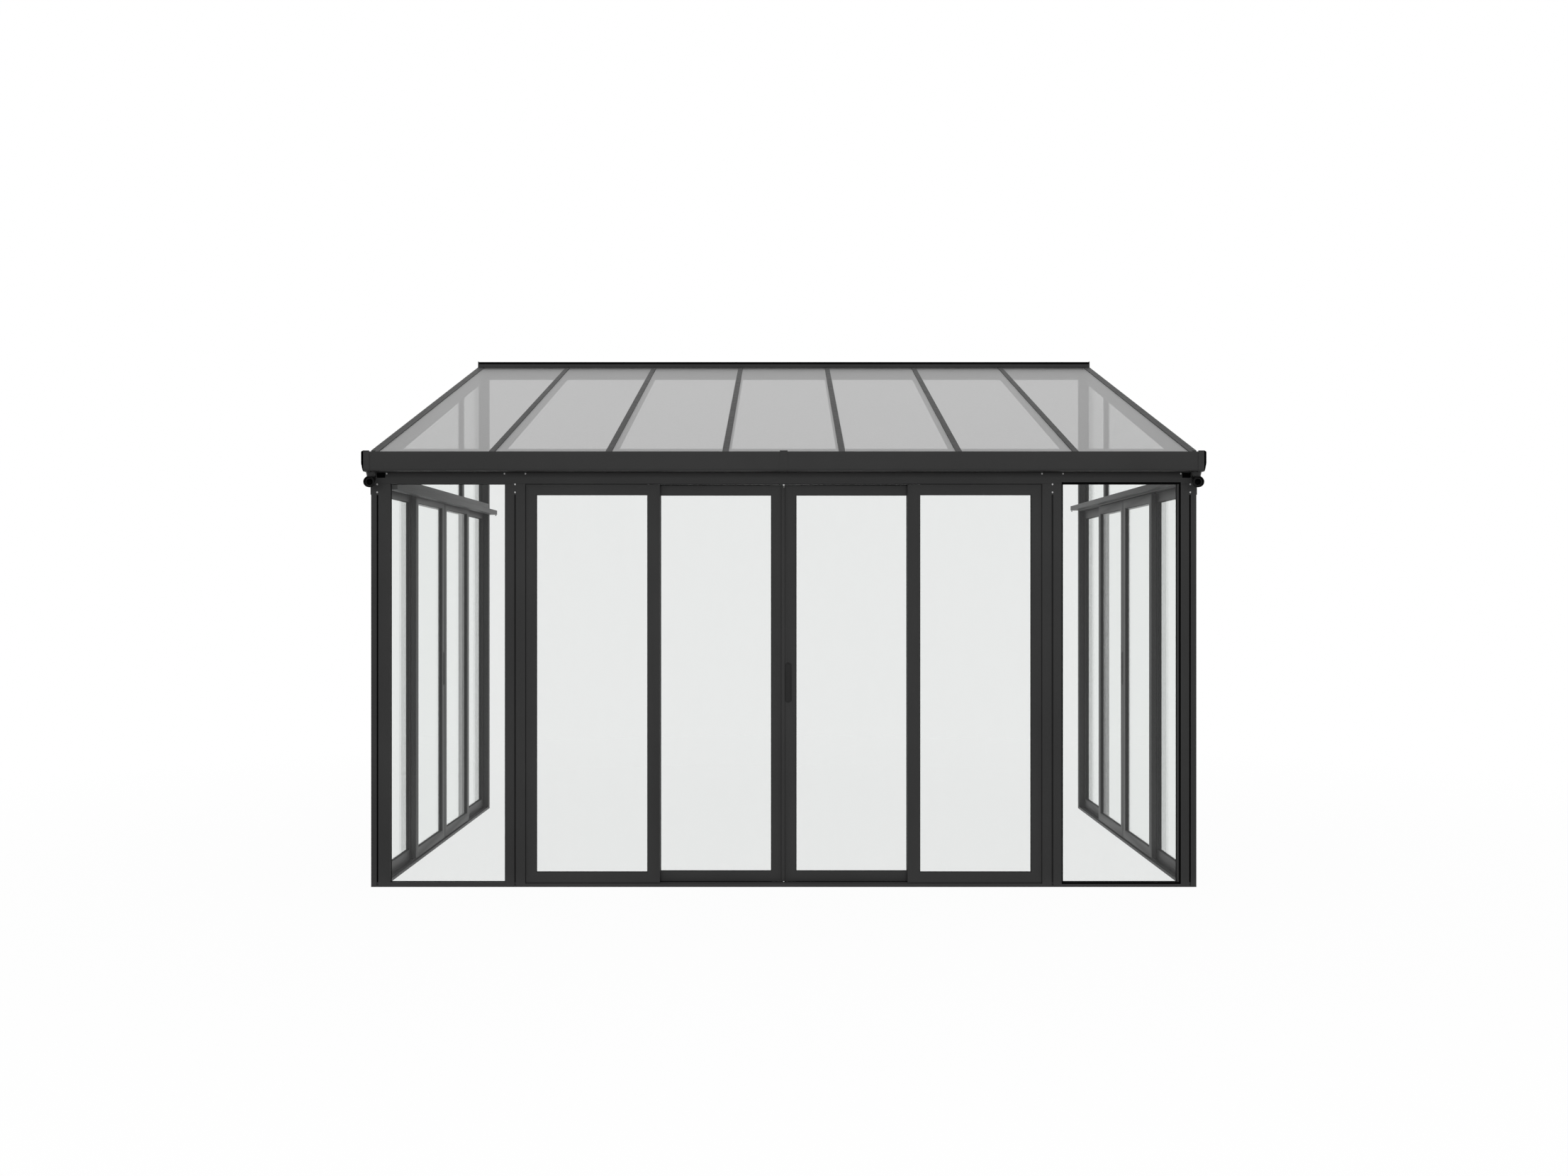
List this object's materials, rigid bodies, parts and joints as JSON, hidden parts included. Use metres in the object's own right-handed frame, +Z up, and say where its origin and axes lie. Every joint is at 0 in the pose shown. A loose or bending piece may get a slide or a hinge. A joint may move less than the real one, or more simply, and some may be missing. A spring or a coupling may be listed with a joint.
{
  "type": "lean-to conservatory with sliding doors",
  "caption": "Lean-to conservatory: glazed walls with sliding doors on three sides, a pitched glass roof, a gutter and a wall plate.",
  "frame": {"origin": "on the ground, at the middle of the whole outline seen from above", "axes": "+X to the right along the front, +Y from the front towards the house wall, +Z up"},
  "size_m": [4.29, 3.07, 3.113],
  "materials": {
    "grey_frame": "satin",
    "clear_pane": "gloss",
    "roof_pane": "gloss",
    "black_plastic": "matte",
    "handle_plastic": "matte",
    "seal_rubber": "matte"
  },
  "bodies": {
    "frame": {"cap_plugs": "black_plastic", "eaves_fillers": "grey_frame", "front_beam": "grey_frame", "front_fixed_leaves": "grey_frame", "front_fixed_panes": "clear_pane", "front_infill_panes": "clear_pane", "front_sill": "grey_frame", "gable_mullions": "grey_frame", "gable_panes": "clear_pane", "glazing_caps": "grey_frame", "gutter_back": "grey_frame", "gutter_bed": "grey_frame", "gutter_end_caps": "grey_frame", "gutter_face": "grey_frame", "head_rails": "grey_frame", "left_corner_post": "grey_frame", "left_door_post": "grey_frame", "left_end_rafter": "grey_frame", "left_fixed_leaves": "grey_frame", "left_fixed_panes": "clear_pane", "left_side_beam": "grey_frame", "left_sill": "grey_frame", "left_wall_post": "grey_frame", "rafter_1": "grey_frame", "rafter_2": "grey_frame", "rafter_3": "grey_frame", "rafter_4": "grey_frame", "rafter_5": "grey_frame", "rafter_6": "grey_frame", "rain_outlets": "black_plastic", "right_corner_post": "grey_frame", "right_door_post": "grey_frame", "right_end_rafter": "grey_frame", "right_fixed_leaves": "grey_frame", "right_fixed_panes": "clear_pane", "right_side_beam": "grey_frame", "right_sill": "grey_frame", "right_wall_post": "grey_frame", "roof_panes": "roof_pane", "wall_plate": "grey_frame", "wall_plate_ends": "grey_frame", "wall_seal": "seal_rubber"},
    "front_slider_1": {"front_leaf_1": "grey_frame", "front_pane_1": "clear_pane"},
    "front_slider_2": {"front_leaf_2": "grey_frame", "front_pane_2": "clear_pane", "front_handle": "handle_plastic", "front_meeting_strip": "grey_frame"},
    "left_slider_1": {"left_leaf_1": "grey_frame", "left_pane_1": "clear_pane"},
    "left_slider_2": {"left_leaf_2": "grey_frame", "left_pane_2": "clear_pane", "left_handle": "handle_plastic", "left_meeting_strip": "grey_frame"},
    "right_slider_1": {"right_leaf_1": "grey_frame", "right_pane_1": "clear_pane"},
    "right_slider_2": {"right_leaf_2": "grey_frame", "right_pane_2": "clear_pane", "right_handle": "handle_plastic", "right_meeting_strip": "grey_frame"}
  },
  "joints": [
    {"name": "front_slide_1", "type": "slide", "parent": "frame", "child": "front_slider_1", "axis": [-1, 0, 0], "range_m": [0, 0.6235]},
    {"name": "front_slide_2", "type": "slide", "parent": "frame", "child": "front_slider_2", "axis": [1, 0, 0], "range_m": [0, 0.6235]},
    {"name": "left_slide_1", "type": "slide", "parent": "frame", "child": "left_slider_1", "axis": [0, 1, 0], "range_m": [0, 0.65725]},
    {"name": "left_slide_2", "type": "slide", "parent": "frame", "child": "left_slider_2", "axis": [0, -1, 0], "range_m": [0, 0.65725]},
    {"name": "right_slide_1", "type": "slide", "parent": "frame", "child": "right_slider_1", "axis": [0, -1, 0], "range_m": [0, 0.65725]},
    {"name": "right_slide_2", "type": "slide", "parent": "frame", "child": "right_slider_2", "axis": [0, 1, 0], "range_m": [0, 0.65725]}
  ]
}
